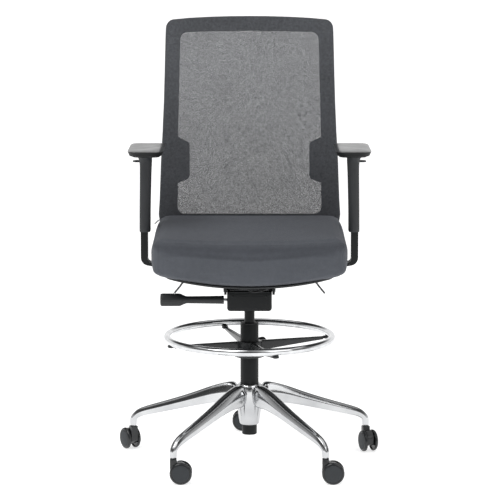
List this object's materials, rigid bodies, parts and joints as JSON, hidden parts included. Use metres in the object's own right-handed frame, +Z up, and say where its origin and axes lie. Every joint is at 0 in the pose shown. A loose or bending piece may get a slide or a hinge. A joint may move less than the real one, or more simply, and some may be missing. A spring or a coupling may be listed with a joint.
{
  "type": "drafting chair",
  "caption": "Tall swivel chair with gas lift, clamped foot ring, mesh back, synchro tilt, adjustable arms and a polished star base on casters.",
  "frame": {"origin": "centre of the bounding box at floor level", "axes": "+Z up, +X to the sitter's left, +Y towards the back of the chair"},
  "size_m": [0.7287, 0.6653, 1.205],
  "materials": {
    "polished_aluminium": "polished",
    "chrome": "mirror polished",
    "steel": "plain zinc",
    "black_steel": "black powder coat, satin",
    "black_plastic": "fine grain",
    "caster_plastic": "gloss rim, matt face",
    "frame_plastic": "fine grain",
    "seat_fabric": "woven grey upholstery",
    "back_mesh": "open grey mesh",
    "pad_urethane": "soft matt urethane",
    "cable_jacket": "smooth"
  },
  "bodies": {
    "base": {"star_base": "polished_aluminium", "column_tube": "black_steel", "guide_bush": "black_plastic", "thrust_bearing": "steel", "caster_1_stem": "steel", "caster_2_stem": "steel", "caster_3_stem": "steel", "caster_4_stem": "steel", "caster_5_stem": "steel"},
    "caster_1": {"caster_1_housing": "caster_plastic", "caster_1_axle": "steel"},
    "caster_1_left": {"caster_1_wheel_left": "caster_plastic"},
    "caster_1_right": {"caster_1_wheel_right": "caster_plastic"},
    "caster_2": {"caster_2_housing": "caster_plastic", "caster_2_axle": "steel"},
    "caster_2_left": {"caster_2_wheel_left": "caster_plastic"},
    "caster_2_right": {"caster_2_wheel_right": "caster_plastic"},
    "caster_3": {"caster_3_housing": "caster_plastic", "caster_3_axle": "steel"},
    "caster_3_left": {"caster_3_wheel_left": "caster_plastic"},
    "caster_3_right": {"caster_3_wheel_right": "caster_plastic"},
    "caster_4": {"caster_4_housing": "caster_plastic", "caster_4_axle": "steel"},
    "caster_4_left": {"caster_4_wheel_left": "caster_plastic"},
    "caster_4_right": {"caster_4_wheel_right": "caster_plastic"},
    "caster_5": {"caster_5_housing": "caster_plastic", "caster_5_axle": "steel"},
    "caster_5_left": {"caster_5_wheel_left": "caster_plastic"},
    "caster_5_right": {"caster_5_wheel_right": "caster_plastic"},
    "ring": {"foot_ring": "chrome", "ring_hub": "black_steel"},
    "ring_clamp": {"ring_knob": "black_plastic"},
    "lift_rod": {"piston_rod": "steel"},
    "mechanism": {"gas_cylinder": "black_steel", "mechanism_housing": "black_steel", "tilt_pin": "steel", "recline_pin": "steel", "tension_spring": "steel"},
    "tension": {"tension_knob": "black_plastic"},
    "back_carrier": {"back_bar": "black_steel"},
    "seat": {"seat_plate": "black_steel", "seat_shell": "black_plastic", "seat_cushion": "seat_fabric", "height_cable": "cable_jacket", "tilt_cable": "cable_jacket"},
    "back": {"back_frame": "frame_plastic", "back_mesh": "back_mesh"},
    "back_lever": {"back_height_lever": "steel"},
    "height_lever": {"height_lever": "steel"},
    "tilt_lever": {"tilt_lever": "steel"},
    "arm_left_post": {"arm_left_bracket": "black_steel"},
    "arm_left": {"arm_left_sleeve": "frame_plastic"},
    "arm_left_trigger": {"arm_left_trigger": "black_plastic"},
    "arm_left_turntable": {"arm_left_pad_base": "black_plastic"},
    "arm_left_pad": {"arm_left_pad": "pad_urethane"},
    "arm_right_post": {"arm_right_bracket": "black_steel"},
    "arm_right": {"arm_right_sleeve": "frame_plastic"},
    "arm_right_trigger": {"arm_right_trigger": "black_plastic"},
    "arm_right_turntable": {"arm_right_pad_base": "black_plastic"},
    "arm_right_pad": {"arm_right_pad": "pad_urethane"}
  },
  "joints": [
    {"name": "caster_1_swivel", "type": "hinge", "parent": "base", "child": "caster_1", "pos_m": [0.32688, 0.07321, 0.06], "axis": [0, 0, 1], "continuous": true},
    {"name": "caster_1_left_roll", "type": "hinge", "parent": "caster_1", "child": "caster_1_left", "pos_m": [0.33339, 0.0543, 0.03], "axis": [0.9455, 0.3256, 0], "continuous": true},
    {"name": "caster_1_right_roll", "type": "hinge", "parent": "caster_1", "child": "caster_1_right", "pos_m": [0.33339, 0.0543, 0.03], "axis": [0.9455, 0.3256, 0], "continuous": true},
    {"name": "caster_2_swivel", "type": "hinge", "parent": "base", "child": "caster_2", "pos_m": [0, 0.3107, 0.06], "axis": [0, 0, 1], "continuous": true},
    {"name": "caster_2_left_roll", "type": "hinge", "parent": "caster_2", "child": "caster_2_left", "pos_m": [-0.02, 0.3107, 0.03], "axis": [0, -1, 0], "continuous": true},
    {"name": "caster_2_right_roll", "type": "hinge", "parent": "caster_2", "child": "caster_2_right", "pos_m": [-0.02, 0.3107, 0.03], "axis": [0, -1, 0], "continuous": true},
    {"name": "caster_3_swivel", "type": "hinge", "parent": "base", "child": "caster_3", "pos_m": [-0.32688, 0.07321, 0.06], "axis": [0, 0, 1], "continuous": true},
    {"name": "caster_3_left_roll", "type": "hinge", "parent": "caster_3", "child": "caster_3_left", "pos_m": [-0.33688, 0.09053, 0.03], "axis": [-0.866, -0.5, 0], "continuous": true},
    {"name": "caster_3_right_roll", "type": "hinge", "parent": "caster_3", "child": "caster_3_right", "pos_m": [-0.33688, 0.09053, 0.03], "axis": [-0.866, -0.5, 0], "continuous": true},
    {"name": "caster_4_swivel", "type": "hinge", "parent": "base", "child": "caster_4", "pos_m": [-0.20202, -0.31106, 0.06], "axis": [0, 0, 1], "continuous": true},
    {"name": "caster_4_left_roll", "type": "hinge", "parent": "caster_4", "child": "caster_4_left", "pos_m": [-0.18202, -0.31106, 0.03], "axis": [0, 1, 0], "continuous": true},
    {"name": "caster_4_right_roll", "type": "hinge", "parent": "caster_4", "child": "caster_4_right", "pos_m": [-0.18202, -0.31106, 0.03], "axis": [0, 1, 0], "continuous": true},
    {"name": "caster_5_swivel", "type": "hinge", "parent": "base", "child": "caster_5", "pos_m": [0.20202, -0.31106, 0.06], "axis": [0, 0, 1], "continuous": true},
    {"name": "caster_5_left_roll", "type": "hinge", "parent": "caster_5", "child": "caster_5_left", "pos_m": [0.22202, -0.31106, 0.03], "axis": [0, 1, 0], "continuous": true},
    {"name": "caster_5_right_roll", "type": "hinge", "parent": "caster_5", "child": "caster_5_right", "pos_m": [0.22202, -0.31106, 0.03], "axis": [0, 1, 0], "continuous": true},
    {"name": "foot_ring_height", "type": "slide", "parent": "base", "child": "ring", "axis": [0, 0, 1], "range_m": [-0.066, 0.045]},
    {"name": "ring_clamp_turn", "type": "hinge", "parent": "ring", "child": "ring_clamp", "pos_m": [0.02185, -0.00695, 0.323], "axis": [0.6428, 0.766, 0], "range_deg": [0, 540]},
    {"name": "column_swivel", "type": "hinge", "parent": "base", "child": "lift_rod", "pos_m": [0, -0.033, 0.085], "axis": [0, 0, 1], "continuous": true},
    {"name": "seat_height", "type": "slide", "parent": "lift_rod", "child": "mechanism", "axis": [0, 0, 1], "range_m": [0, 0.2]},
    {"name": "tension_turn", "type": "hinge", "parent": "mechanism", "child": "tension", "pos_m": [-0.061, -0.093, 0.457], "axis": [-1, 0, 0], "continuous": true},
    {"name": "recline", "type": "hinge", "parent": "mechanism", "child": "back_carrier", "pos_m": [0, 0.055, 0.455], "axis": [-1, 0, 0], "range_deg": [0, 18]},
    {"name": "seat_tilt", "type": "hinge", "parent": "mechanism", "child": "seat", "pos_m": [0, -0.088, 0.482], "axis": [-1, 0, 0], "range_deg": [0, 7.2]},
    {"name": "back_height", "type": "slide", "parent": "back_carrier", "child": "back", "axis": [0, 0.1386, 0.9903], "range_m": [0, 0.05]},
    {"name": "back_lever_lift", "type": "hinge", "parent": "back", "child": "back_lever", "pos_m": [-0.05, 0.21998, 0.632], "axis": [0, 0.9903, -0.1386], "range_deg": [0, 6], "stiffness_Nm_per_rad": 0.4},
    {"name": "height_lever_lift", "type": "hinge", "parent": "seat", "child": "height_lever", "pos_m": [-0.108, -0.133, 0.5125], "axis": [0, 1, 0], "range_deg": [0, 5], "stiffness_Nm_per_rad": 0.6},
    {"name": "tilt_lever_lift", "type": "hinge", "parent": "seat", "child": "tilt_lever", "pos_m": [0.108, -0.133, 0.5125], "axis": [0, -1, 0], "range_deg": [0, 5], "stiffness_Nm_per_rad": 0.6},
    {"name": "arm_left_width", "type": "slide", "parent": "seat", "child": "arm_left_post", "axis": [1, 0, 0], "range_m": [0, 0.03]},
    {"name": "arm_left_height", "type": "slide", "parent": "arm_left_post", "child": "arm_left", "axis": [0, 0, 1], "range_m": [-0.055, 0.03]},
    {"name": "arm_left_trigger_squeeze", "type": "hinge", "parent": "arm_left", "child": "arm_left_trigger", "pos_m": [0.282, -0.003, 0.826], "axis": [0, -1, 0], "range_deg": [0, 7], "stiffness_Nm_per_rad": 0.5},
    {"name": "arm_left_pad_pivot", "type": "hinge", "parent": "arm_left", "child": "arm_left_turntable", "pos_m": [0.2885, -0.003, 0.8455], "axis": [0, 0, 1], "range_deg": [-15, 15]},
    {"name": "arm_left_pad_shift", "type": "slide", "parent": "arm_left_turntable", "child": "arm_left_pad", "axis": [0, 1, 0], "range_m": [-0.025, 0.025]},
    {"name": "arm_right_width", "type": "slide", "parent": "seat", "child": "arm_right_post", "axis": [-1, 0, 0], "range_m": [0, 0.03]},
    {"name": "arm_right_height", "type": "slide", "parent": "arm_right_post", "child": "arm_right", "axis": [0, 0, 1], "range_m": [-0.055, 0.03]},
    {"name": "arm_right_trigger_squeeze", "type": "hinge", "parent": "arm_right", "child": "arm_right_trigger", "pos_m": [-0.282, -0.003, 0.826], "axis": [0, 1, 0], "range_deg": [0, 7], "stiffness_Nm_per_rad": 0.5},
    {"name": "arm_right_pad_pivot", "type": "hinge", "parent": "arm_right", "child": "arm_right_turntable", "pos_m": [-0.2885, -0.003, 0.8455], "axis": [0, 0, 1], "range_deg": [-15, 15]},
    {"name": "arm_right_pad_shift", "type": "slide", "parent": "arm_right_turntable", "child": "arm_right_pad", "axis": [0, 1, 0], "range_m": [-0.025, 0.025]}
  ],
  "couplings": [
    {"joint": "seat_tilt", "follows": "recline", "ratio": 0.4}
  ]
}
